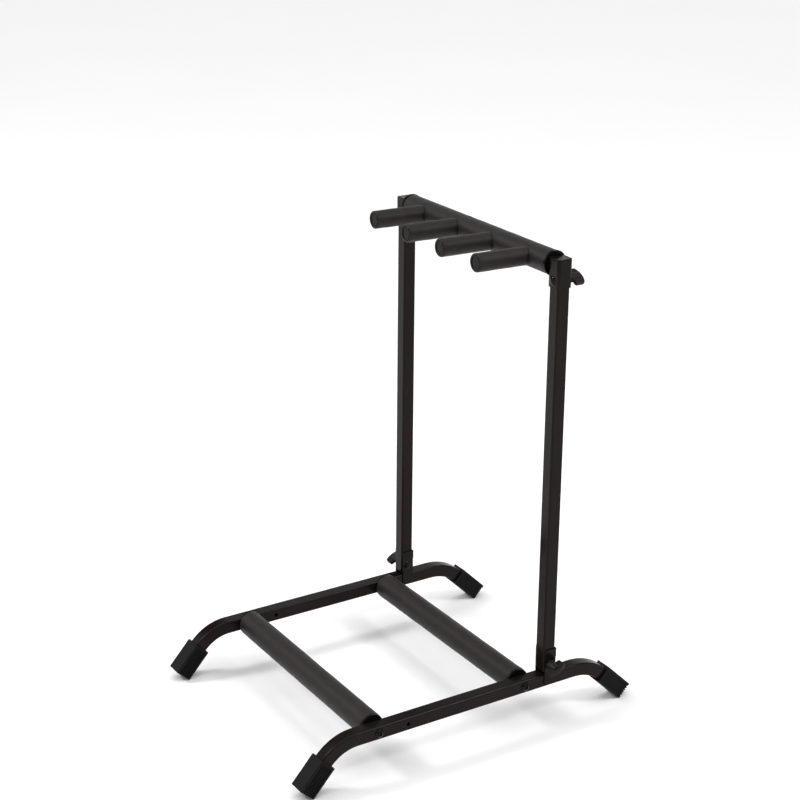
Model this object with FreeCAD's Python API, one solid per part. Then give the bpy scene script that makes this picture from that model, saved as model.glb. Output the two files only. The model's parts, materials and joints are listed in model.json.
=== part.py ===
"""Folding rack for three guitars: two bent steel side bars on rubber boots, joined by two
foam-covered cross tubes, carry a pair of hinged uprights.  The uprights hold a padded top bar
with four padded arms, and a guitar neck hangs in each of the three slots between them.

Millimetres.  +X runs across the rack, the arms point to -Y, +Z is up, and the origin lies on
the floor under the middle of the base.
"""
import FreeCAD, Part
import math
import os

V = FreeCAD.Vector
X_AXIS = V(1, 0, 0)
Y_AXIS = V(0, 1, 0)
Z_AXIS = V(0, 0, 1)
ORIGIN = V(0, 0, 0)

# --- driving dimensions -------------------------------------------------------------------
# square tube of the side bars and uprights
TUBE_WIDTH = 19.0
TUBE_WALL = 1.2
TUBE_CORNER = 2.4

# side bars
FRAME_HALF = 184.2         # middle of the rack to the middle of a side bar
BAR_HEIGHT = 64.0          # floor to the bar's centreline
BEND_RADIUS = {"front": 62.5, "rear": 76.0}    # at the centreline
LEG_ANGLE = {"front": 48.0, "rear": 44.5}      # degrees below the horizontal
LEG_TIP_Y = 266.4          # middle of the rack to the outermost edge of a boot
SPARE_HOLE_Y = -102.0
SPARE_HOLE_R = 2.75

# rubber boots
BOOT_WALL = 3.3
BOOT_CORNER = 1.2
BOOT_LENGTH = {"front": 47.5, "rear": 53.0}
BOOT_SOLE = 6.0            # rubber beyond the end of the tube
BOOT_LAND = 0.7            # depth of the flat worn into the lowest edge
BOOT_GROOVES = 5
BOOT_GROOVE_WIDTH = 1.8
BOOT_GROOVE_DEPTH = 1.4
BOOT_COLLAR = 3.5          # plain band at the mouth

# base cross tubes
CROSS_Y = {"front": -146.5, "rear": 86.3}
CROSS_TUBE_R = 11.0
CROSS_FOAM_R = 17.9
CROSS_PAD_R = 13.0         # pad of an end cap that bears on the side bar
CROSS_PAD_STEP = 0.5       # pad to the rest of the cap, so that the uprights fold past it
ROUND_WALL = 1.2
END_CAP_THICK = 3.0
END_CAP_SPIGOT = 14.0

# fasteners, all M6
BOLT_R = 3.0
BOLT_HOLE_R = 3.2
NUT_ACROSS_FLATS = 10.0
NUT_THICK = 5.0
WASHER_R = 6.5
WASHER_THICK = 1.2

# hinge brackets
PIVOT_Y = 125.0
PIVOT_Z = 88.0
PIVOT_HOLE_R = 3.06        # running fit on the bolt
BRACKET_WALL = 1.5
BRACKET_GAP = 0.15         # upright to each ear
BRACKET_FRONT_Y = 117.3
BRACKET_BOTTOM_Z = 59.0
BRACKET_TOP_Z = 110.5
WEB_BOTTOM_Z = 98.5
WEB_GAP = 0.35             # upright to the web behind it

# uprights, drawn vertical and leaned back about the pivot at the end
UPRIGHT_LEAN = 0.55        # degrees
UPRIGHT_FOOT = 9.6         # pivot to the lower end
UPRIGHT_TOP_Z = 661.0

# sockets over the tops of the uprights
SOCKET_GAP = 0.1
SOCKET_WALL = 1.8
SOCKET_BOTTOM_Z = 625.3
PLUG_FLANGE = 3.0
PLUG_SPIGOT = 15.0
CLAMP_Z = 634.6

# top bar and arms
TOP_BAR_Z = 653.4
TOP_TUBE_R = 9.5
TOP_FOAM_R = 16.5
TOP_CAP_R = 17.1
ARM_X = (-125.0, -41.7, 41.7, 125.0)
ARM_REACH = 91.1           # top bar's axis to the tip
ARM_RISE = 1.0             # degrees above square to the upright
ARM_TUBE_R = 8.0
ARM_FOAM_R = 12.5
ARM_FOAM_ROUND = 2.0
ARM_CAP_R = 10.2
ARM_CAP_THICK = 2.0
ARM_CAP_INSET = 0.6

# knobs
KNOB_FOOT_R = 7.2
KNOB_HUB_R = 6.6           # at the foot
KNOB_TOP_R = 5.2           # at the top of the hub
KNOB_HUB_LENGTH = 16.0
KNOB_BLADE_HALF = 13.3     # half the blade's width
KNOB_BLADE_FOOT = 4.5      # washer to the blade's lower edge
KNOB_BLADE_SIDE = 17.5     # washer to the top of the blade's straight sides
KNOB_BLADE_TOP = 21.5      # washer to the crown of its domed top
KNOB_BLADE_THICK = 5.0
KNOB_BLADE_CORNER = 2.5
KNOB_BORE_DEPTH = 9.5
KNOB_BORE_R = 3.05
KNOB_TURN = {"lower": 25.0, "upper": 28.0}     # degrees from level at rest

# --- worked out from the above ------------------------------------------------------------
BOOT_WIDTH = TUBE_WIDTH + 2 * BOOT_WALL
BAR_TOP_Z = BAR_HEIGHT + TUBE_WIDTH / 2
CROSS_HALF = FRAME_HALF - TUBE_WIDTH / 2        # inner faces of the side bars
SOCKET_WIDTH = TUBE_WIDTH + 2 * (SOCKET_GAP + SOCKET_WALL)
TOP_HALF = FRAME_HALF - SOCKET_WIDTH / 2        # inner faces of the sockets
EAR_OUTSIDE = TUBE_WIDTH / 2 + BRACKET_GAP + BRACKET_WALL


# --- small builders -----------------------------------------------------------------------
def rounded_square(width, corner):
    """Face in the XY plane, centred on the origin."""
    inset = width / 2 - corner
    edges = []
    centres = ((inset, inset, 0), (-inset, inset, 90),
               (-inset, -inset, 180), (inset, -inset, 270))
    arcs = [Part.makeCircle(corner, V(cx, cy, 0), Z_AXIS, start, start + 90)
            for cx, cy, start in centres]
    for arc, following in zip(arcs, arcs[1:] + arcs[:1]):
        edges.append(arc)
        edges.append(Part.makeLine(arc.lastVertex().Point, following.firstVertex().Point))
    return Part.Face(Part.Wire(Part.__sortEdges__(edges)))


def post(width, corner, bottom, top):
    """Upright bar of rounded square section."""
    solid = rounded_square(width, corner).extrude(V(0, 0, top - bottom))
    solid.translate(V(0, 0, bottom))
    return solid


def rod(radius, start, end):
    """Cylinder from one point to another."""
    run = end - start
    return Part.makeCylinder(radius, run.Length, start, run)


def pipe(outer, inner, start, end):
    """Round tube from one point to another."""
    return rod(outer, start, end).cut(rod(inner, start, end))


def hexagon(across_flats, thickness):
    """Hexagonal prism standing on the XY plane."""
    radius = across_flats / 2 / math.cos(math.pi / 6)
    corners = [V(radius * math.cos(i * math.pi / 3), radius * math.sin(i * math.pi / 3), 0)
               for i in range(7)]
    return Part.Face(Part.makePolygon(corners)).extrude(V(0, 0, thickness))


def aimed(shape, position, direction):
    """Copy of a shape drawn along +Z, set at a position and pointing in a direction."""
    placed = shape.copy()
    turn = FreeCAD.Rotation(Z_AXIS, direction)
    placed.Placement = FreeCAD.Placement(position, turn).multiply(placed.Placement)
    return placed


def mirrored(shape):
    """The other side's copy."""
    return shape.mirror(ORIGIN, X_AXIS)


def at_frame(shape):
    """Move a shape drawn about X = 0 to the right-hand side frame."""
    moved = shape.copy()
    moved.translate(V(FRAME_HALF, 0, 0))
    return moved


def leaned(shape):
    """Lean a piece of the upper frame back about the pivot."""
    turned = shape.copy()
    turned.rotate(V(0, PIVOT_Y, PIVOT_Z), X_AXIS, -UPRIGHT_LEAN)
    return turned


nodes = {}


def keep(name, *solids):
    """Store a node: one solid, or a group of identical ones."""
    nodes[name] = solids[0] if len(solids) == 1 else Part.makeCompound(list(solids))


def keep_pair(name, shape):
    """Store a right-hand piece and its mirror image."""
    keep(name + "_right", shape)
    keep(name + "_left", mirrored(shape))


# --- side bars ----------------------------------------------------------------------------
class Leg:
    """Geometry of one bent leg, measured outward (+Y) from the middle of the rack."""

    def __init__(self, place):
        self.angle = LEG_ANGLE[place]
        self.boot_length = BOOT_LENGTH[place]
        self.radius = BEND_RADIUS[place]
        sine = math.sin(math.radians(self.angle))
        cosine = math.cos(math.radians(self.angle))
        self.down = V(0, cosine, -sine)
        # middle of the boot's sole
        self.end_z = BOOT_WIDTH / 2 * cosine - BOOT_LAND
        self.end_y = LEG_TIP_Y - BOOT_WIDTH / 2 * sine
        below_bend = BAR_HEIGHT - self.radius * (1 - cosine) - self.end_z
        self.length = below_bend / sine - BOOT_SOLE
        self.bend_start = (self.end_y - (self.length + BOOT_SOLE) * cosine
                           - self.radius * sine)


LEGS = {"front": Leg("front"), "rear": Leg("rear")}


def half_bar(leg, width, corner, extra):
    """Solid bar from the middle of the rack to a leg's end, and `extra` past it."""
    section = rounded_square(width, corner)
    section.rotate(ORIGIN, X_AXIS, 90)
    section.translate(V(0, 0, BAR_HEIGHT))
    straight = section.extrude(V(0, leg.bend_start, 0))
    section.translate(V(0, leg.bend_start, 0))
    bend_centre = V(0, leg.bend_start, BAR_HEIGHT - leg.radius)
    bend = section.revolve(bend_centre, V(-1, 0, 0), leg.angle)
    section.rotate(bend_centre, V(-1, 0, 0), leg.angle)
    shank = section.extrude(leg.down * (leg.length + extra))
    return [straight, bend, shank]


def bent_bar(width, corner, extra):
    """Solid bar along the side frame's centreline."""
    rear = half_bar(LEGS["rear"], width, corner, extra)
    front = [piece.mirror(ORIGIN, Y_AXIS)
             for piece in half_bar(LEGS["front"], width, corner, extra)]
    return rear[0].fuse(rear[1:] + front).removeSplitter()


def side_bar():
    outer = bent_bar(TUBE_WIDTH, TUBE_CORNER, 0)
    bar = outer.cut(bent_bar(TUBE_WIDTH - 2 * TUBE_WALL, TUBE_CORNER - TUBE_WALL, 1))
    reach = V(TUBE_WIDTH, 0, 0)
    holes = [(y, BOLT_HOLE_R) for y in CROSS_Y.values()] + [(SPARE_HOLE_Y, SPARE_HOLE_R)]
    for y, radius in holes:
        centre = V(0, y, BAR_HEIGHT)
        bar = bar.cut(rod(radius, centre - reach, centre + reach))
    return at_frame(bar)


def boot(leg):
    """Ribbed rubber boot, drawn standing on its sole and then turned onto a leg along +Y."""
    body = post(BOOT_WIDTH, BOOT_CORNER, 0, leg.boot_length)
    pitch = TUBE_WIDTH / BOOT_GROOVES
    for i in range(BOOT_GROOVES):
        y = (i - (BOOT_GROOVES - 1) / 2) * pitch
        for side in (-1, 1):
            x = side * BOOT_WIDTH / 2 - BOOT_GROOVE_DEPTH
            groove = Part.makeBox(2 * BOOT_GROOVE_DEPTH, BOOT_GROOVE_WIDTH,
                                  leg.boot_length - BOOT_COLLAR + 1,
                                  V(x, y - BOOT_GROOVE_WIDTH / 2, -1))
            body = body.cut(groove)
    body.rotate(ORIGIN, X_AXIS, 90 - leg.angle)
    body.translate(V(0, leg.end_y, leg.end_z))
    below_floor = Part.makeBox(60, 60, 20, V(-30, leg.end_y - 30, -20))
    tube = half_bar(leg, TUBE_WIDTH, TUBE_CORNER, 0)
    return at_frame(body.cut([below_floor] + tube))


# --- cross tubes --------------------------------------------------------------------------
def button_bolt(length):
    """Button-head socket bolt: head below the XY plane, shank up +Z."""
    head_r = 5.6
    head_height = 3.2
    dome_r = (head_r ** 2 + head_height ** 2) / (2 * head_height)
    ball = Part.makeSphere(dome_r, V(0, 0, dome_r - head_height))
    head = ball.common(Part.makeCylinder(head_r, head_height, V(0, 0, -head_height)))
    key = hexagon(4.0, 2.0)
    key.translate(V(0, 0, -head_height))
    shank = Part.makeCylinder(BOLT_R, length)
    return head.cut(key).fuse(shank).removeSplitter()


def washer(inner):
    return pipe(WASHER_R, inner, ORIGIN, V(0, 0, WASHER_THICK))


def nut():
    return hexagon(NUT_ACROSS_FLATS, NUT_THICK).cut(rod(BOLT_R, ORIGIN, V(0, 0, NUT_THICK)))


def cross_end_cap():
    """Plug for a cross tube: pad on the XY plane, spigot up +Z with a pocket for the nut."""
    spigot_top = END_CAP_THICK + END_CAP_SPIGOT
    cap = rod(CROSS_FOAM_R - 0.5, V(0, 0, CROSS_PAD_STEP), V(0, 0, END_CAP_THICK))
    cap = cap.fuse(rod(CROSS_PAD_R, ORIGIN, V(0, 0, END_CAP_THICK)))
    cap = cap.fuse(rod(CROSS_TUBE_R - ROUND_WALL, ORIGIN, V(0, 0, spigot_top)))
    cap = cap.cut(rod(BOLT_HOLE_R, V(0, 0, -1), V(0, 0, spigot_top + 1)))
    pocket = hexagon(NUT_ACROSS_FLATS, NUT_THICK + 1)
    pocket.translate(V(0, 0, spigot_top - NUT_THICK))
    return cap.cut(pocket).removeSplitter()


def cross_tube(y):
    centre = V(0, y, BAR_HEIGHT)
    half = V(CROSS_HALF - END_CAP_THICK, 0, 0)
    tube = pipe(CROSS_TUBE_R, CROSS_TUBE_R - ROUND_WALL, centre - half, centre + half)
    foam = pipe(CROSS_FOAM_R, CROSS_TUBE_R, centre - half, centre + half)
    return tube, foam


def base():
    keep_pair("base_bar", side_bar())
    keep_pair("foot_rear", boot(LEGS["rear"]))
    keep_pair("foot_front", boot(LEGS["front"]).mirror(ORIGIN, Y_AXIS))
    bolts = []
    washers = []
    nuts = []
    outside = FRAME_HALF + TUBE_WIDTH / 2
    bolt_length = WASHER_THICK + TUBE_WIDTH + END_CAP_THICK + END_CAP_SPIGOT
    for place, y in CROSS_Y.items():
        tube, foam = cross_tube(y)
        keep("cross_tube_" + place, tube)
        keep("cross_foam_" + place, foam)
        inward = V(-1, 0, 0)
        cap = aimed(cross_end_cap(), V(CROSS_HALF, y, BAR_HEIGHT), inward)
        keep_pair("cross_end_cap_" + place, cap)
        bolt = aimed(button_bolt(bolt_length), V(outside + WASHER_THICK, y, BAR_HEIGHT), inward)
        ring = aimed(washer(BOLT_R), V(outside + WASHER_THICK, y, BAR_HEIGHT), inward)
        captive = aimed(nut(), V(CROSS_HALF - END_CAP_THICK - END_CAP_SPIGOT + NUT_THICK,
                                 y, BAR_HEIGHT), inward)
        for group, piece in ((bolts, bolt), (washers, ring), (nuts, captive)):
            group += [piece, mirrored(piece)]
    keep("cross_tube_bolts", *bolts)
    keep("cross_tube_washers", *washers)
    keep("cross_tube_nuts", *nuts)


# --- hinge --------------------------------------------------------------------------------
def hinge_bracket():
    """Two ears that straddle side bar and upright, with a web behind the upright as its stop."""
    rear_y = PIVOT_Y + TUBE_WIDTH / 2 + WEB_GAP + BRACKET_WALL
    depth = rear_y - BRACKET_FRONT_Y
    height = BRACKET_TOP_Z - BRACKET_BOTTOM_Z
    body = Part.makeBox(2 * EAR_OUTSIDE, depth, height,
                        V(-EAR_OUTSIDE, BRACKET_FRONT_Y, BRACKET_BOTTOM_Z))
    rear_corners = [edge for edge in body.Edges
                    if edge.BoundBox.ZLength > height / 2 and edge.BoundBox.YMax > rear_y - 1]
    body = body.makeFillet(BRACKET_WALL, rear_corners)
    channel = Part.makeBox(TUBE_WIDTH + 2 * BRACKET_GAP, depth, height,
                           V(-TUBE_WIDTH / 2 - BRACKET_GAP, BRACKET_FRONT_Y - BRACKET_WALL,
                             BAR_TOP_Z))
    astride_bar = Part.makeBox(TUBE_WIDTH, depth, height,
                               V(-TUBE_WIDTH / 2, BRACKET_FRONT_Y - BRACKET_WALL,
                                 BRACKET_BOTTOM_Z - 1))
    below_web = Part.makeBox(4 * EAR_OUTSIDE, 10, WEB_BOTTOM_Z - BRACKET_BOTTOM_Z + 1,
                             V(-2 * EAR_OUTSIDE, rear_y - BRACKET_WALL,
                               BRACKET_BOTTOM_Z - 1))
    bolt_hole = rod(BOLT_R, V(-30, PIVOT_Y, PIVOT_Z), V(30, PIVOT_Y, PIVOT_Z))
    neck = BOLT_R * 2
    square_hole = Part.makeBox(BRACKET_WALL, neck, neck,
                               V(-EAR_OUTSIDE, PIVOT_Y - BOLT_R, PIVOT_Z - BOLT_R))
    body = body.cut([channel, astride_bar, below_web, bolt_hole, square_hole])
    return at_frame(body)


def carriage_bolt(wall, length):
    """Domed head below the XY plane, square neck through a wall, round shank up +Z."""
    head_r = 6.4
    head_height = 2.8
    dome_r = (head_r ** 2 + head_height ** 2) / (2 * head_height)
    ball = Part.makeSphere(dome_r, V(0, 0, dome_r - head_height))
    head = ball.common(Part.makeCylinder(head_r, head_height, V(0, 0, -head_height)))
    neck = Part.makeBox(2 * BOLT_R, 2 * BOLT_R, wall, V(-BOLT_R, -BOLT_R, 0))
    shank = Part.makeCylinder(BOLT_R, length)
    return head.fuse([neck, shank]).removeSplitter()


def blade():
    """Flat grip of a knob: straight sides, domed top, standing on the XZ plane's middle."""
    half = KNOB_BLADE_HALF
    crown = V(0, 0, KNOB_BLADE_TOP)
    shoulders = (V(half, 0, KNOB_BLADE_SIDE), V(-half, 0, KNOB_BLADE_SIDE))
    feet = (V(half, 0, KNOB_BLADE_FOOT), V(-half, 0, KNOB_BLADE_FOOT))
    dome = Part.Arc(shoulders[0], crown, shoulders[1]).toShape()
    outline = Part.Wire([Part.makeLine(feet[0], shoulders[0]), dome,
                         Part.makeLine(shoulders[1], feet[1]),
                         Part.makeLine(feet[1], feet[0])])
    slab = Part.Face(outline).extrude(V(0, KNOB_BLADE_THICK, 0))
    slab.translate(V(0, -KNOB_BLADE_THICK / 2, 0))
    corners = [edge for edge in slab.Edges
               if edge.BoundBox.XLength < 0.01 and edge.BoundBox.ZLength < 0.01]
    slab = slab.makeFillet(KNOB_BLADE_CORNER, corners)
    rims = [edge for edge in slab.Edges if edge.BoundBox.YLength < 0.01]
    return slab.makeFillet(0.9, rims)


def wing_knob():
    """Moulded knob standing on the XY plane with its blade along X."""
    hub = Part.makeCone(KNOB_HUB_R, KNOB_TOP_R, KNOB_HUB_LENGTH)
    foot = Part.makeCylinder(KNOB_FOOT_R, 2.0)
    return blade().fuse([hub, foot]).removeSplitter()


def knob_with_insert(turn):
    """The knob, with its bore and hexagonal pocket cut, and the nut moulded into it."""
    pocket = hexagon(NUT_ACROSS_FLATS, NUT_THICK)
    bore = Part.makeCylinder(KNOB_BORE_R, KNOB_BORE_DEPTH)
    knob = wing_knob().cut([pocket, bore]).removeSplitter()
    insert = hexagon(NUT_ACROSS_FLATS, NUT_THICK).cut(bore)
    for piece in (knob, insert):
        piece.rotate(ORIGIN, Z_AXIS, turn)
    return knob, insert


def lower_knob_turn():
    """Quarter turn that lays the blade along the bar, plus the angle it is left at."""
    return 90 + KNOB_TURN["lower"]


def hinge():
    keep_pair("hinge_bracket", hinge_bracket())
    ear = FRAME_HALF + EAR_OUTSIDE
    knob_foot = ear + WASHER_THICK
    bolt = carriage_bolt(BRACKET_WALL, 2 * EAR_OUTSIDE + WASHER_THICK + KNOB_BORE_DEPTH - 1.5)
    keep_pair("pivot_bolt", aimed(bolt, V(FRAME_HALF - EAR_OUTSIDE, PIVOT_Y, PIVOT_Z), X_AXIS))
    ring = aimed(washer(BOLT_R), V(ear, PIVOT_Y, PIVOT_Z), X_AXIS)
    keep("pivot_washers", ring, mirrored(ring))
    knob, insert = knob_with_insert(lower_knob_turn())
    keep_pair("lower_wing_knob", aimed(knob, V(knob_foot, PIVOT_Y, PIVOT_Z), X_AXIS))
    keep_pair("lower_knob_insert", aimed(insert, V(knob_foot, PIVOT_Y, PIVOT_Z), X_AXIS))


# --- uprights and sockets -----------------------------------------------------------------
def upright():
    bottom = PIVOT_Z - UPRIGHT_FOOT
    outer = post(TUBE_WIDTH, TUBE_CORNER, bottom, UPRIGHT_TOP_Z)
    inner = post(TUBE_WIDTH - 2 * TUBE_WALL, TUBE_CORNER - TUBE_WALL,
                 bottom - 1, UPRIGHT_TOP_Z + 1)
    tube = outer.cut(inner)
    tube = tube.cut(rod(PIVOT_HOLE_R, V(-20, 0, PIVOT_Z), V(20, 0, PIVOT_Z)))
    tube = tube.cut(rod(BOLT_HOLE_R, V(0, -20, CLAMP_Z), V(0, 20, CLAMP_Z)))
    tube.translate(V(0, PIVOT_Y, 0))
    return leaned(at_frame(tube))


def socket():
    """Sleeve welded to the end of the top bar, which slips over the top of an upright."""
    corner = TUBE_CORNER + SOCKET_GAP + SOCKET_WALL
    outer = post(SOCKET_WIDTH, corner, SOCKET_BOTTOM_Z, UPRIGHT_TOP_Z)
    inner = post(TUBE_WIDTH + 2 * SOCKET_GAP, TUBE_CORNER + SOCKET_GAP,
                 SOCKET_BOTTOM_Z - 1, UPRIGHT_TOP_Z + 1)
    sleeve = outer.cut(inner)
    square_hole = Part.makeBox(2 * BOLT_R, SOCKET_WALL, 2 * BOLT_R,
                               V(-BOLT_R, -SOCKET_WIDTH / 2, CLAMP_Z - BOLT_R))
    sleeve = sleeve.cut(square_hole)
    sleeve = sleeve.cut(rod(BOLT_HOLE_R, V(0, 0, CLAMP_Z), V(0, 20, CLAMP_Z)))
    sleeve.translate(V(0, PIVOT_Y, 0))
    return leaned(at_frame(sleeve))


def socket_plug():
    """Plastic plug that closes the top of the upright and its socket."""
    corner = TUBE_CORNER + SOCKET_GAP + SOCKET_WALL
    top = UPRIGHT_TOP_Z + PLUG_FLANGE
    flange = post(SOCKET_WIDTH, corner, UPRIGHT_TOP_Z, top)
    rim = [edge for edge in flange.Edges if edge.BoundBox.ZMin > top - 0.01]
    flange = flange.makeFillet(1.0, rim)
    width = TUBE_WIDTH - 2 * TUBE_WALL
    low = UPRIGHT_TOP_Z - PLUG_SPIGOT
    spigot = post(width, TUBE_CORNER - TUBE_WALL, low, UPRIGHT_TOP_Z)
    hollow = post(width - 4, 1.0, low - 1, UPRIGHT_TOP_Z - 2)
    plug = flange.fuse(spigot.cut(hollow)).removeSplitter()
    plug.translate(V(0, PIVOT_Y, 0))
    return leaned(at_frame(plug))


def uprights():
    keep_pair("upright", upright())
    keep_pair("socket", socket())
    keep_pair("socket_plug", socket_plug())
    front = V(FRAME_HALF, PIVOT_Y - SOCKET_WIDTH / 2, CLAMP_Z)
    rear = V(FRAME_HALF, PIVOT_Y + SOCKET_WIDTH / 2, CLAMP_Z)
    knob_foot = rear + V(0, WASHER_THICK, 0)
    bolt = carriage_bolt(SOCKET_WALL, SOCKET_WIDTH + WASHER_THICK + KNOB_BORE_DEPTH - 1.5)
    keep_pair("clamp_bolt", leaned(aimed(bolt, front, Y_AXIS)))
    ring = leaned(aimed(washer(BOLT_R), rear, Y_AXIS))
    keep("clamp_washers", ring, mirrored(ring))
    knob, insert = knob_with_insert(KNOB_TURN["upper"])
    keep_pair("upper_wing_knob", leaned(aimed(knob, knob_foot, Y_AXIS)))
    keep_pair("upper_knob_insert", leaned(aimed(insert, knob_foot, Y_AXIS)))


# --- top bar and arms ---------------------------------------------------------------------
BAR_CENTRE = V(0, PIVOT_Y, TOP_BAR_Z)
ARM_DIRECTION = V(0, -math.cos(math.radians(ARM_RISE)), math.sin(math.radians(ARM_RISE)))


def top_end_cap():
    """Ring between the foam and the socket, with a raised rim and a circle of dimples."""
    ring = pipe(TOP_CAP_R, TOP_TUBE_R, ORIGIN, V(0, 0, END_CAP_THICK))
    recess = pipe(TOP_CAP_R - 1.6, TOP_TUBE_R + 1.6, V(0, 0, END_CAP_THICK - 0.6),
                  V(0, 0, END_CAP_THICK))
    ring = ring.cut(recess)
    dimple_circle = (TOP_CAP_R + TOP_TUBE_R) / 2
    for i in range(12):
        angle = math.radians(30 * i)
        centre = V(dimple_circle * math.cos(angle), dimple_circle * math.sin(angle),
                   END_CAP_THICK - 1.2)
        ring = ring.cut(rod(1.1, centre, centre + V(0, 0, 2)))
    return aimed(ring, BAR_CENTRE + V(TOP_HALF - END_CAP_THICK, 0, 0), X_AXIS)


def arm(x):
    """Tube, foam sleeve and end cap of one arm."""
    root = BAR_CENTRE + V(x, 0, 0)
    tip = root + ARM_DIRECTION * ARM_REACH
    tube_end = tip - ARM_DIRECTION * (ARM_CAP_INSET + ARM_CAP_THICK)
    across = V(40, 0, 0)
    tube = pipe(ARM_TUBE_R, ARM_TUBE_R - ROUND_WALL, root, tube_end)
    tube = tube.cut(rod(TOP_TUBE_R, root - across, root + across))
    foam = rod(ARM_FOAM_R, root, tip)
    tip_edge = [edge for edge in foam.Edges
                if (edge.BoundBox.Center - tip).Length < 1 and edge.Closed]
    foam = foam.makeFillet(ARM_FOAM_ROUND, tip_edge)
    foam = foam.cut(rod(ARM_TUBE_R, root, tip))
    foam = foam.cut(rod(ARM_CAP_R, tube_end, tip + ARM_DIRECTION))
    foam = foam.cut(rod(TOP_FOAM_R, root - across, root + across))
    cap = rod(ARM_CAP_R, tube_end, tube_end + ARM_DIRECTION * ARM_CAP_THICK)
    spigot_end = tube_end - ARM_DIRECTION * 10
    cap = cap.fuse(pipe(ARM_TUBE_R - ROUND_WALL, ARM_TUBE_R - ROUND_WALL - 1.5,
                        tube_end, spigot_end))
    return tube, foam, cap.removeSplitter()


def top_frame():
    half = V(TOP_HALF, 0, 0)
    foam_half = V(TOP_HALF - END_CAP_THICK, 0, 0)
    tube = pipe(TOP_TUBE_R, TOP_TUBE_R - ROUND_WALL, BAR_CENTRE - half, BAR_CENTRE + half)
    keep("top_bar_tube", leaned(tube))
    foam = pipe(TOP_FOAM_R, TOP_TUBE_R, BAR_CENTRE - foam_half, BAR_CENTRE + foam_half)
    for x in ARM_X:
        root = BAR_CENTRE + V(x, 0, 0)
        foam = foam.cut(rod(ARM_TUBE_R, root, root + ARM_DIRECTION * ARM_REACH))
    keep("top_bar_foam", leaned(foam))
    keep_pair("top_bar_end_cap", leaned(top_end_cap()))
    for number, x in enumerate(ARM_X, 1):
        for name, piece in zip(("arm_tube", "arm_foam", "arm_end_cap"), arm(x)):
            keep("%s_%d" % (name, number), leaned(piece))


# --- build --------------------------------------------------------------------------------
base()
hinge()
uprights()
top_frame()

os.makedirs("parts", exist_ok=True)
for name, shape in nodes.items():
    shape.exportStep("parts/%s.step" % name)
box = Part.makeCompound(list(nodes.values())).BoundBox
print(len(nodes), "nodes, box", [round(v, 2) for v in
                                 (box.XMin, box.YMin, box.ZMin, box.XMax, box.YMax, box.ZMax)])
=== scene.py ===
"""Looks for the folding guitar rack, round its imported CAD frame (metres, +Z up, arms to -Y).

Every hard part keeps its CAD shape and gets a procedural material.  The seven foam sleeves are
modelled here as soft closed forms, and the knobs get the raised dots of their grip.
"""

import json
import math

import bmesh
import bpy
import numpy as np
from mathutils import Matrix, Vector, noise


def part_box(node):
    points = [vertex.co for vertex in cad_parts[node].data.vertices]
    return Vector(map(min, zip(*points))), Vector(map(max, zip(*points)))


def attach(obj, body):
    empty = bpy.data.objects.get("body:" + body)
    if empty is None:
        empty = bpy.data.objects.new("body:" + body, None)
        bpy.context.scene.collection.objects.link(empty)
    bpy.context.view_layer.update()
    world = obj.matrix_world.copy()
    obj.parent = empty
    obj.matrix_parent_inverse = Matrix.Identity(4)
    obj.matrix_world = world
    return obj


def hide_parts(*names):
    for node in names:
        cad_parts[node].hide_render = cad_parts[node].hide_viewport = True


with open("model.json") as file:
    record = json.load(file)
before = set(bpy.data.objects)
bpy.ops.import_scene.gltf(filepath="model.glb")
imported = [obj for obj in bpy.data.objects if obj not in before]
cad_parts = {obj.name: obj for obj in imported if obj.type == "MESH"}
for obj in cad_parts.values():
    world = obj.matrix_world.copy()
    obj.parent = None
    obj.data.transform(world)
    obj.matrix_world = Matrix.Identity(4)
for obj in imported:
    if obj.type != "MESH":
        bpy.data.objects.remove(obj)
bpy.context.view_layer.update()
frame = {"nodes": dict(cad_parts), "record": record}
NODES = frame["nodes"]
RECORD = frame["record"]
MM = 0.001


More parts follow.
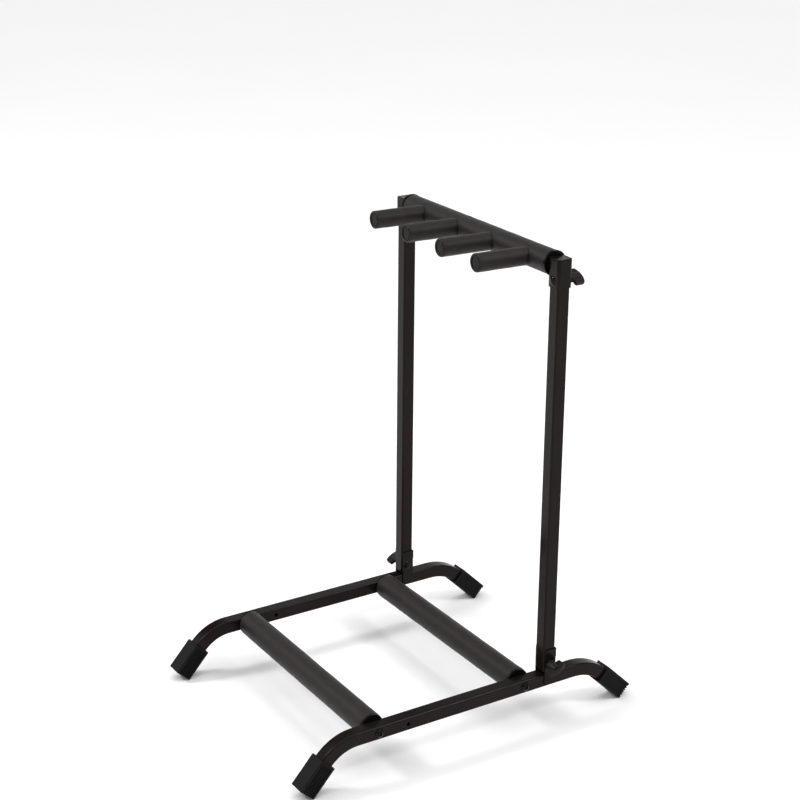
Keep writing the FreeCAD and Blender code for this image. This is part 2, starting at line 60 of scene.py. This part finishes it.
# --- material building blocks ---------------------------------------------------------------
class Shader:
    """A Principled material, with short names for the nodes this scene uses."""

    def __init__(self, name):
        self.material = bpy.data.materials.new(name)
        self.material.use_nodes = True
        self.tree = self.material.node_tree
        self.principled = self.tree.nodes["Principled BSDF"]
        self.place = self.tree.nodes.new("ShaderNodeTexCoord").outputs["Object"]

    def set(self, **values):
        for name, value in values.items():
            self.principled.inputs[name.replace("_", " ")].default_value = value

    def link(self, source, target):
        self.tree.links.new(source, target)

    def noise(self, size_mm, detail=3.0, roughness=0.55, stretch=(1, 1, 1)):
        """Noise whose features are about size_mm across."""
        mapping = self.tree.nodes.new("ShaderNodeMapping")
        mapping.inputs["Scale"].default_value = stretch
        self.link(self.place, mapping.inputs["Vector"])
        node = self.tree.nodes.new("ShaderNodeTexNoise")
        node.inputs["Scale"].default_value = 1 / (size_mm * MM)
        node.inputs["Detail"].default_value = detail
        node.inputs["Roughness"].default_value = roughness
        self.link(mapping.outputs["Vector"], node.inputs["Vector"])
        return node.outputs["Fac"]

    def cells(self, size_mm):
        """Distance to the nearest of scattered points about size_mm apart."""
        node = self.tree.nodes.new("ShaderNodeTexVoronoi")
        node.inputs["Scale"].default_value = 1 / (size_mm * MM)
        self.link(self.place, node.inputs["Vector"])
        return node.outputs["Distance"]

    def ramp(self, value, stops):
        """Colours or grey levels along a value: stops are (position, colour)."""
        node = self.tree.nodes.new("ShaderNodeValToRGB")
        elements = node.color_ramp.elements
        while len(elements) < len(stops):
            elements.new(0.5)
        for element, (position, colour) in zip(elements, stops):
            element.position = position
            element.color = (*colour, 1.0)
        self.link(value, node.inputs["Fac"])
        return node.outputs["Color"]

    def span(self, value, low, high):
        """The value's middle range stretched to run from low to high."""
        node = self.tree.nodes.new("ShaderNodeMapRange")
        node.inputs["From Min"].default_value = 0.3
        node.inputs["From Max"].default_value = 0.7
        node.inputs["To Min"].default_value = low
        node.inputs["To Max"].default_value = high
        self.link(value, node.inputs["Value"])
        return node.outputs["Result"]

    def mix(self, factor, first, second):
        node = self.tree.nodes.new("ShaderNodeMix")
        node.data_type = "RGBA"
        self.link(factor, node.inputs["Factor"])
        self.link(first, node.inputs["A"])
        self.link(second, node.inputs["B"])
        return node.outputs["Result"]

    def bump(self, height, depth_mm, below=None):
        """Relief of about depth_mm, laid over another bump's normal if one is given."""
        node = self.tree.nodes.new("ShaderNodeBump")
        node.inputs["Strength"].default_value = 1.0
        node.inputs["Distance"].default_value = depth_mm * MM
        self.link(height, node.inputs["Height"])
        if below is not None:
            self.link(below, node.inputs["Normal"])
        return node.outputs["Normal"]


WARM_GLOSS = (1.0, 0.92, 0.90, 1.0)     # tint of the reflections in the black finishes


def grey(level, warmth=0.0):
    """Linear grey, warmed towards a reddish brown."""
    return (level * (1 + warmth), level, level * (1 - 0.3 * warmth))


def painted_steel():
    """Satin black powder coat: fine orange peel, faint clouding and rub marks."""
    s = Shader("black_powder_coat")
    peel = s.noise(1.1, detail=2.0)
    cloud = s.noise(38, detail=4.0)
    rubs = s.noise(9, detail=5.0, roughness=0.7, stretch=(1, 0.35, 0.35))
    base = s.ramp(cloud, ((0.30, grey(0.0050, 0.40)), (0.70, grey(0.0080, 0.40))))
    worn = s.ramp(cloud, ((0.30, grey(0.0120, 0.30)), (0.70, grey(0.0165, 0.30))))
    marks = s.ramp(rubs, ((0.60, (0, 0, 0)), (0.78, (1, 1, 1))))
    s.link(s.mix(marks, base, worn), s.principled.inputs["Base Color"])
    s.link(s.span(cloud, 0.17, 0.28), s.principled.inputs["Roughness"])
    s.link(s.bump(peel, 0.02), s.principled.inputs["Normal"])
    s.set(Specular_IOR_Level=0.16, Specular_Tint=WARM_GLOSS)
    return s.material


def foam_skin():
    """Closed-cell foam: charcoal, satin skin with fine pores and a soft mottle."""
    s = Shader("charcoal_foam")
    mottle = s.noise(14, detail=5.0, roughness=0.62)
    grain = s.noise(1.6, detail=4.0, roughness=0.7)
    pores = s.cells(0.9)
    base = s.ramp(mottle, ((0.25, grey(0.0120, 0.14)), (0.55, grey(0.0155, 0.14)),
                           (0.80, grey(0.0205, 0.14))))
    scuffed = s.ramp(mottle, ((0.25, grey(0.0230, 0.12)), (0.80, grey(0.0300, 0.12))))
    marks = s.ramp(grain, ((0.55, (0, 0, 0)), (0.75, (1, 1, 1))))
    s.link(s.mix(marks, base, scuffed), s.principled.inputs["Base Color"])
    s.link(s.span(grain, 0.42, 0.56), s.principled.inputs["Roughness"])
    fine = s.bump(pores, 0.10)
    s.link(s.bump(grain, 0.16, fine), s.principled.inputs["Normal"])
    s.set(Specular_IOR_Level=0.25, Specular_Tint=WARM_GLOSS)
    s.set(Sheen_Weight=0.06, Sheen_Roughness=0.35)
    return s.material


def moulded_rubber():
    """Boot rubber: matte black with a dusty bloom and a fine spark-eroded grain."""
    s = Shader("boot_rubber")
    grain = s.noise(0.8, detail=3.0)
    bloom = s.noise(11, detail=4.0, roughness=0.65)
    base = s.ramp(bloom, ((0.30, grey(0.0045, 0.04)), (0.72, grey(0.0085, 0.06))))
    s.link(base, s.principled.inputs["Base Color"])
    s.link(s.span(bloom, 0.44, 0.60), s.principled.inputs["Roughness"])
    s.link(s.bump(grain, 0.07), s.principled.inputs["Normal"])
    s.set(Specular_IOR_Level=0.14)
    return s.material


def moulded_plastic(name, level, rough, grain_mm, relief_mm):
    """Black moulded plastic: fine grain, faint flow marks, rubbed patches."""
    s = Shader(name)
    grain = s.noise(grain_mm, detail=3.0)
    flow = s.noise(7, detail=4.0, stretch=(1, 1, 0.4))
    base = s.ramp(flow, ((0.30, grey(level, 0.20)), (0.70, grey(level * 1.5, 0.24))))
    s.link(base, s.principled.inputs["Base Color"])
    s.link(s.span(flow, rough, rough + 0.14), s.principled.inputs["Roughness"])
    s.link(s.bump(grain, relief_mm), s.principled.inputs["Normal"])
    s.set(Specular_IOR_Level=0.16, Specular_Tint=WARM_GLOSS)
    return s.material


def plated(name, level, rough, warmth):
    """Plated fastener: metal with tumbling scratches and uneven dulling."""
    s = Shader(name)
    scratches = s.noise(0.7, detail=4.0, roughness=0.7, stretch=(1, 0.2, 1))
    dull = s.noise(4, detail=3.0)
    base = s.ramp(dull, ((0.30, grey(level, warmth)), (0.70, grey(level * 1.35, warmth))))
    s.link(base, s.principled.inputs["Base Color"])
    s.link(s.span(dull, rough, rough + 0.16), s.principled.inputs["Roughness"])
    s.link(s.bump(scratches, 0.03), s.principled.inputs["Normal"])
    s.set(Metallic=1.0)
    return s.material


MATERIALS = {
    "black_frame_steel": painted_steel(),
    "black_foam": foam_skin(),
    "black_rubber": moulded_rubber(),
    "black_plastic": moulded_plastic("cap_plastic", 0.0030, 0.20, 0.9, 0.02),
    "knob_plastic": moulded_plastic("knob_plastic", 0.0130, 0.34, 0.6, 0.05),
    "black_fasteners": plated("black_zinc", 0.017, 0.08, 0.02),
    "plated_nuts": plated("bright_zinc", 0.52, 0.22, 0.01),
}


# --- CAD nodes ------------------------------------------------------------------------------
SOFT_EDGES = ("hinge_bracket", "socket_left", "socket_right", "foot_", "socket_plug",
              "cross_tube_washers", "pivot_washers", "clamp_washers")
EDGE_WIDTH = 0.35 * MM
SEAM_GAP = 0.01 * MM
SHARP = math.radians(35)


def soften_edges(node):
    """Break the sharp edges of a pressed or moulded part so that they catch the light."""
    weld = node.modifiers.new("weld", "WELD")
    weld.merge_threshold = SEAM_GAP
    bevel = node.modifiers.new("edge_break", "BEVEL")
    bevel.width = EDGE_WIDTH
    bevel.segments = 2
    bevel.limit_method = "ANGLE"
    bevel.angle_limit = SHARP
    bevel.harden_normals = True


def finish_cad_nodes():
    for part in RECORD["subparts"]:
        node = NODES[part["node"]]
        node.data.materials.clear()
        node.data.materials.append(MATERIALS[part["material_slot"]])
        if part["node"].startswith(SOFT_EDGES):
            soften_edges(node)


# --- foam sleeves ---------------------------------------------------------------------------
AROUND = 96                   # points round a sleeve
RING_STEP = 2.5 * MM          # between rings along it
LIP_RADIUS = 1.3 * MM         # soft edge at a sleeve's end
LIP_STEPS = 5
END_SWELL = 0.25 * MM         # where the foam is pushed against its end cap
SWELL_REACH = 5 * MM
WAVE_SIZE = 16 * MM
WAVE_HEIGHT = 0.22 * MM
RIPPLE_SIZE = 4 * MM
RIPPLE_HEIGHT = 0.07 * MM
BEAD_STEPS = 6
BEAD_ROOT = 0.2 * MM          # how deep a raised ring is sunk into its part


def mesh_piece(name, bm, slot, body):
    """A new smooth-shaded piece in the row frame, riding on a body."""
    bmesh.ops.recalc_face_normals(bm, faces=bm.faces)
    data = bpy.data.meshes.new(name)
    bm.to_mesh(data)
    bm.free()
    for polygon in data.polygons:
        polygon.use_smooth = True
    piece = bpy.data.objects.new(name, data)
    bpy.context.scene.collection.objects.link(piece)
    data.materials.append(MATERIALS[slot])
    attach(piece, body)
    return piece


def loft(rings, closed, bm=None):
    """Skin of quads over rings of points; closed joins the last ring to the first."""
    bm = bm or bmesh.new()
    rows = [[bm.verts.new(point) for point in ring] for ring in rings]
    pairs = list(zip(rows, rows[1:]))
    if closed:
        pairs.append((rows[-1], rows[0]))
    for row, following in pairs:
        for i in range(len(row)):
            j = (i + 1) % len(row)
            bm.faces.new((row[i], row[j], following[j], following[i]))
    return bm


def unevenness(point):
    """How far foam stands proud of a true cylinder at a point."""
    return (WAVE_HEIGHT * noise.noise(point / WAVE_SIZE)
            + RIPPLE_HEIGHT * noise.noise(point / RIPPLE_SIZE))


class Sleeve:
    """Closed tube of foam round an axis, described by rings of (distance along, radius)."""

    def __init__(self, root, direction, bore):
        self.root = root
        self.direction = direction.normalized()
        self.across = Vector((1, 0, 0))
        if abs(self.direction.x) > 0.5:
            self.across = Vector((0, 1, 0))
        self.lift = self.direction.cross(self.across).normalized()
        self.bore = bore
        self.rings = []

    def outward(self, i):
        angle = 2 * math.pi * i / AROUND
        return self.across * math.cos(angle) + self.lift * math.sin(angle)

    def add_ring(self, along, radius, uneven=0.0):
        """along is a distance, or a function of the outward direction."""
        ring = []
        for i in range(AROUND):
            outward = self.outward(i)
            distance = along(outward) if callable(along) else along
            point = self.root + self.direction * distance + outward * radius
            ring.append(point + outward * uneven * unevenness(point))
        self.rings.append(ring)

    def bead(self, outer, width, proud, bm=None):
        """Raised half-round ring on the plane through the root."""
        middle = outer - width / 2
        turns = [math.pi * i / BEAD_STEPS for i in range(BEAD_STEPS + 1)]
        self.rings = []
        for turn in turns:
            self.add_ring(proud * math.sin(turn), middle + width / 2 * math.cos(turn))
        self.add_ring(-BEAD_ROOT, middle - width / 2)
        self.add_ring(-BEAD_ROOT, middle + width / 2)
        return loft(self.rings, closed=True, bm=bm)

    def piece(self, name, body):
        bm = loft(self.rings, closed=True)
        made = mesh_piece(name, bm, "black_foam", body)
        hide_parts(name.replace("_skin", ""))
        return made


def lip(radius, corner):
    """Quarter circle of (distance in from the end, radius), from the flat end outward."""
    steps = [math.pi / 2 * i / LIP_STEPS for i in range(LIP_STEPS + 1)]
    return [(corner * (1 - math.sin(a)), radius - corner * (1 - math.cos(a)))
            for a in reversed(steps)]


def centre_of(node):
    low, high = (Vector(corner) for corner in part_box(node))
    return (low + high) / 2


def half_size(node):
    low, high = (Vector(corner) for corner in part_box(node))
    return (high - low) / 2


def straight_sleeve(node, tube, body):
    """Foam on a cross tube or the top bar, lying along X between its end caps."""
    half_length = half_size(node).x
    radius = half_size(node).z
    sleeve = Sleeve(centre_of(node), Vector((1, 0, 0)), half_size(tube).z)
    sleeve.add_ring(-half_length, sleeve.bore)
    ends = lip(radius, LIP_RADIUS)
    for inset, r in ends:
        sleeve.add_ring(-half_length + inset, r)
    run = half_length - LIP_RADIUS
    count = round(2 * run / RING_STEP)
    for i in range(1, count):
        along = -run + 2 * run * i / count
        from_end = run - abs(along)
        swell = END_SWELL * math.exp(-from_end / SWELL_REACH) * (1 - math.exp(-from_end / MM))
        sleeve.add_ring(along, radius + swell, uneven=1.0)
    for inset, r in reversed(ends):
        sleeve.add_ring(half_length - inset, r)
    sleeve.add_ring(half_length, sleeve.bore)
    return sleeve.piece(node + "_skin", body)


ARM_EDGE = 1.7 * MM           # rounding of an arm's foam at its tip
ARM_CAP_THICK = 2.0 * MM
ARM_RIM = 9.6 * MM            # raised rim on an arm's end cap
ARM_RIM_WIDTH = 1.6 * MM
ARM_RIM_PROUD = 0.9 * MM
CAP_CREVICE = 0.25 * MM       # between a cap and the foam round it
SEAM_BITE = 0.9 * MM          # groove where an arm's foam butts against the bar's


def arm_sleeve(number):
    """Foam on an arm: cut to fit round the top bar's foam, rounded over its end cap."""
    node = "arm_foam_%d" % number
    cap = "arm_end_cap_%d" % number
    tube = "arm_tube_%d" % number
    bar = centre_of("top_bar_foam")
    bar_radius = half_size("top_bar_foam").z
    root = Vector((centre_of(tube).x, bar.y, bar.z))
    direction = centre_of(tube) - root
    radius = half_size(node).x
    sleeve = Sleeve(root, direction, half_size(tube).x)
    tilt = abs(sleeve.direction.z)
    level = math.sqrt(1 - tilt * tilt)
    tip = (root.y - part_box(node)[0].y - (radius - ARM_EDGE) * tilt) / level
    cap_radius = half_size(cap).x
    cap_face = (root.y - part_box(cap)[0].y - cap_radius * tilt) / level
    cap_back = cap_face - ARM_CAP_THICK

    def against_bar(r, clear):
        def distance(outward):
            sideways = r * outward.dot(sleeve.lift)
            return math.sqrt((bar_radius + clear) ** 2 - sideways * sideways)
        return distance

    sleeve.add_ring(against_bar(sleeve.bore, 0.0), sleeve.bore)
    for inset, r in lip(radius, SEAM_BITE):
        sleeve.add_ring(against_bar(r, inset), r)
    run_from = bar_radius + SEAM_BITE
    run_to = tip - ARM_EDGE
    count = round((run_to - run_from) / RING_STEP)
    for i in range(1, count):
        share = i / count
        start = against_bar(radius, SEAM_BITE)

        def along(outward, share=share, start=start):
            return start(outward) * (1 - share) + run_to * share
        sleeve.add_ring(along, radius, uneven=1.0)
    for inset, r in reversed(lip(radius, ARM_EDGE)):
        sleeve.add_ring(tip - inset, r)
    sleeve.add_ring(tip, cap_radius + CAP_CREVICE)
    sleeve.add_ring(cap_back, cap_radius + CAP_CREVICE)
    sleeve.add_ring(cap_back, sleeve.bore)
    sleeve.piece(node + "_skin", "upper_frame")

    rim = Sleeve(root + sleeve.direction * cap_face, direction, 0.0)
    mesh_piece(cap + "_rim", rim.bead(ARM_RIM, ARM_RIM_WIDTH, ARM_RIM_PROUD),
               "black_plastic", "upper_frame")


def foams():
    straight_sleeve("cross_foam_front", "cross_tube_front", "base")
    straight_sleeve("cross_foam_rear", "cross_tube_rear", "base")
    straight_sleeve("top_bar_foam", "top_bar_tube", "upper_frame")
    for number in range(1, 5):
        arm_sleeve(number)


# --- moulded marks on the caps of the foam tubes ----------------------------------------------
PIP_RADIUS = 1.6 * MM
PIP_WIDTH = 1.1 * MM
PIP_PROUD = 0.45 * MM
PIP_CIRCLE = 15.2 * MM        # the cap's axis to the middle of a pip
PIP_ANGLE = math.radians(50)  # from +Y
CAP_STEP = 0.5 * MM           # pad that bears on the side bar to the rest of the cap


def pips(cap, foam):
    """Two moulded rings, opposite each other, on the outer face of a cross tube's cap."""
    side = 1 if centre_of(cap).x > 0 else -1
    face = max(abs(corner.x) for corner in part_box(cap)) - CAP_STEP
    bm = bmesh.new()
    for turn in (PIP_ANGLE, PIP_ANGLE + math.pi):
        outward = Vector((0, math.cos(turn), math.sin(turn)))
        centre = centre_of(foam) + outward * PIP_CIRCLE
        centre.x = side * face
        Sleeve(centre, Vector((side, 0, 0)), 0.0).bead(PIP_RADIUS, PIP_WIDTH, PIP_PROUD, bm)
    mesh_piece(cap + "_pips", bm, "black_plastic", "base")


def cap_marks():
    for place in ("front", "rear"):
        for side in ("left", "right"):
            pips("cross_end_cap_%s_%s" % (place, side), "cross_foam_%s" % place)


# --- knob grips -----------------------------------------------------------------------------
DOT_PITCH = 1.9 * MM
DOT_RADIUS = 0.62 * MM
DOT_PROUD = 0.36 * MM
ROW_SHARE = 0.87              # pitch between rows, over the pitch along them
BLADE_MARGIN = 1.5 * MM       # blade's edge to the nearest dot's middle
HUB_CLEAR = 7.0 * MM          # knob's axis to the nearest dot's middle, where the hub is
HUB_BELOW = 2.4 * BLADE_MARGIN    # the blade's crown to the dots above the hub
ABOVE_WASHER = 6.5 * MM       # dots start this far up the blade
DOME_RISE = 4.0 * MM          # crown of the blade above the top of its sides
NEAR_CROWN = 0.9              # share of the height above which only the blade is left


def knob_frame(node, joint):
    """Foot, axis, directions along and square to the blade, its half width and thickness, crown."""
    axis = Vector(joint["axis"]).normalized()
    foot = Vector(joint["pos_m"])
    points = np.array([v.co[:] for v in NODES[node].data.vertices]) - np.array(foot)
    height = points @ np.array(axis)
    flat = points[height > ABOVE_WASHER]
    flat = flat - np.outer(flat @ np.array(axis), np.array(axis))
    _, vectors = np.linalg.eigh(flat.T @ flat)
    along = Vector(vectors[:, 2]).normalized()
    square = axis.cross(along).normalized()
    half_width = float(np.abs(points @ np.array(along)).max())
    above = points[height > NEAR_CROWN * height.max()]
    half_thickness = float(np.abs(above @ np.array(square)).max())
    return foot, axis, along, square, half_width, half_thickness, float(height.max())


def grip(node, joint, body):
    """Raised dots on both faces of a knob's blade, either side of its hub."""
    foot, axis, along, square, half_width, half_thickness, crown = knob_frame(node, joint)
    # radius of the arc over the blade, from its half width and its rise
    dome = (half_width ** 2 + DOME_RISE ** 2) / (2 * DOME_RISE)
    bm = bmesh.new()
    columns = int(half_width / DOT_PITCH)
    rows = int(crown / DOT_PITCH)
    for row in range(rows):
        height = ABOVE_WASHER + row * DOT_PITCH * ROW_SHARE
        for column in range(-columns - 1, columns + 2):
            side = (column + 0.5 * (row % 2)) * DOT_PITCH
            top = crown - dome + math.sqrt(max(dome ** 2 - side ** 2, 0.0))
            inside = abs(side) < half_width - BLADE_MARGIN and height < top - BLADE_MARGIN
            on_hub = abs(side) < HUB_CLEAR and height < crown - HUB_BELOW
            if on_hub or not inside:
                continue
            for face in (-1, 1):
                centre = foot + axis * height + along * side + square * face * half_thickness
                turn = Matrix((along, axis, square)).transposed().to_4x4()
                shape = Matrix.Diagonal((DOT_RADIUS, DOT_RADIUS, DOT_PROUD, 1.0))
                bmesh.ops.create_icosphere(bm, subdivisions=2, radius=1.0,
                                           matrix=Matrix.Translation(centre) @ turn @ shape)
    mesh_piece(node + "_grip", bm, "knob_plastic", body)


def grips():
    joints = {joint["name"]: joint for joint in RECORD["behaviour"]["joints"]}
    for level in ("lower", "upper"):
        for side in ("left", "right"):
            name = "%s_knob_%s" % (level, side)
            grip("%s_wing_knob_%s" % (level, side), joints[name + "_turn"], name)


# --- studio ---------------------------------------------------------------------------------
FLOOR_HALF = 30.0
FLOOR_DROP = 0.2 * MM         # below the boots, so that the faces don't coincide
FLOOR_CLOUD_MM = 900


def floor():
    s = Shader("pale_floor")
    cloud = s.noise(FLOOR_CLOUD_MM, detail=2.0)
    base = s.ramp(cloud, ((0.3, grey(0.885)), (0.7, grey(0.895))))
    s.link(base, s.principled.inputs["Base Color"])
    s.set(Roughness=0.75, Specular_IOR_Level=0.2)
    data = bpy.data.meshes.new("floor")
    corners = [(x * FLOOR_HALF, y * FLOOR_HALF, -FLOOR_DROP)
               for x, y in ((-1, -1), (1, -1), (1, 1), (-1, 1))]
    data.from_pydata(corners, [], [(0, 1, 2, 3)])
    data.materials.append(s.material)
    plane = bpy.data.objects.new("floor", data)
    bpy.context.scene.collection.objects.link(plane)


SOFTBOX_SIZE = 0.7
SOFTBOX_AIM = Vector((0, 0, 0.35))


def softbox(name, place, watts):
    """Square lamp at a place, turned to the middle of the rack."""
    light = bpy.data.lights.new(name, "AREA")
    light.shape = "RECTANGLE"
    light.size = light.size_y = SOFTBOX_SIZE
    light.energy = watts
    lamp = bpy.data.objects.new(name, light)
    lamp.location = place
    lamp.rotation_euler = (SOFTBOX_AIM - Vector(place)).to_track_quat("-Z", "Y").to_euler()
    bpy.context.scene.collection.objects.link(lamp)


PRINT_CONTRAST = 0.90         # below 1 deepens the blacks, as a catalogue print does
# studio walls by height on the unit sphere: white to WALL_TOP, dark above, then the diffuser
WALL_LIGHT = 0.95
GAP_LIGHT = 0.10
CEILING_LIGHT = 1.90
WALL_TOP = (0.38, 0.52)
CEILING_EDGE = (0.62, 0.90)


def studio():
    """White walls, a dark gap above them and a broad bright ceiling, with two softboxes."""
    world = bpy.data.worlds.new("studio")
    world.use_nodes = True
    tree = world.node_tree
    place = tree.nodes.new("ShaderNodeTexCoord")
    split = tree.nodes.new("ShaderNodeSeparateXYZ")
    tree.links.new(place.outputs["Generated"], split.inputs["Vector"])
    both = tree.nodes.new("ShaderNodeMath")
    both.operation = "ADD"
    steps = ((WALL_TOP, WALL_LIGHT, GAP_LIGHT), (CEILING_EDGE, 0.0, CEILING_LIGHT - GAP_LIGHT))
    for slot, (edge, below, above) in enumerate(steps):
        step = tree.nodes.new("ShaderNodeMapRange")
        step.interpolation_type = "SMOOTHSTEP"
        step.inputs["From Min"].default_value, step.inputs["From Max"].default_value = edge
        step.inputs["To Min"].default_value = below
        step.inputs["To Max"].default_value = above
        tree.links.new(split.outputs["Z"], step.inputs["Value"])
        tree.links.new(step.outputs["Result"], both.inputs[slot])
    tree.links.new(both.outputs["Value"], tree.nodes["Background"].inputs["Strength"])
    tree.nodes["Background"].inputs["Color"].default_value = (1.0, 1.0, 1.0, 1.0)
    scene = bpy.context.scene
    scene.world = world
    scene.view_settings.view_transform = "Standard"
    scene.view_settings.gamma = PRINT_CONTRAST
    softbox("left_softbox", (-1.6, -2.0, 2.5), 46)
    softbox("right_softbox", (2.0, 1.8, 2.8), 36)


CAMERA_AZIMUTH = math.radians(58.278)
CAMERA_ELEVATION = math.radians(20.448)
CAMERA_DISTANCE = 2.48954
CAMERA_TARGET = Vector((0.0, 0.0045, 0.43712))
CAMERA_LENS = 82.50
CAMERA_SENSOR = 36.0


def camera():
    data = bpy.data.cameras.new("camera")
    data.sensor_width = CAMERA_SENSOR
    data.lens = CAMERA_LENS
    level = math.cos(CAMERA_ELEVATION)
    back = Vector((math.sin(CAMERA_AZIMUTH) * level, -math.cos(CAMERA_AZIMUTH) * level,
                   math.sin(CAMERA_ELEVATION)))
    seen_from = bpy.data.objects.new("camera", data)
    seen_from.location = CAMERA_TARGET + back * CAMERA_DISTANCE
    seen_from.rotation_euler = back.to_track_quat("Z", "Y").to_euler()
    bpy.context.scene.collection.objects.link(seen_from)
    bpy.context.scene.camera = seen_from


finish_cad_nodes()
foams()
cap_marks()
grips()
floor()
studio()
camera()
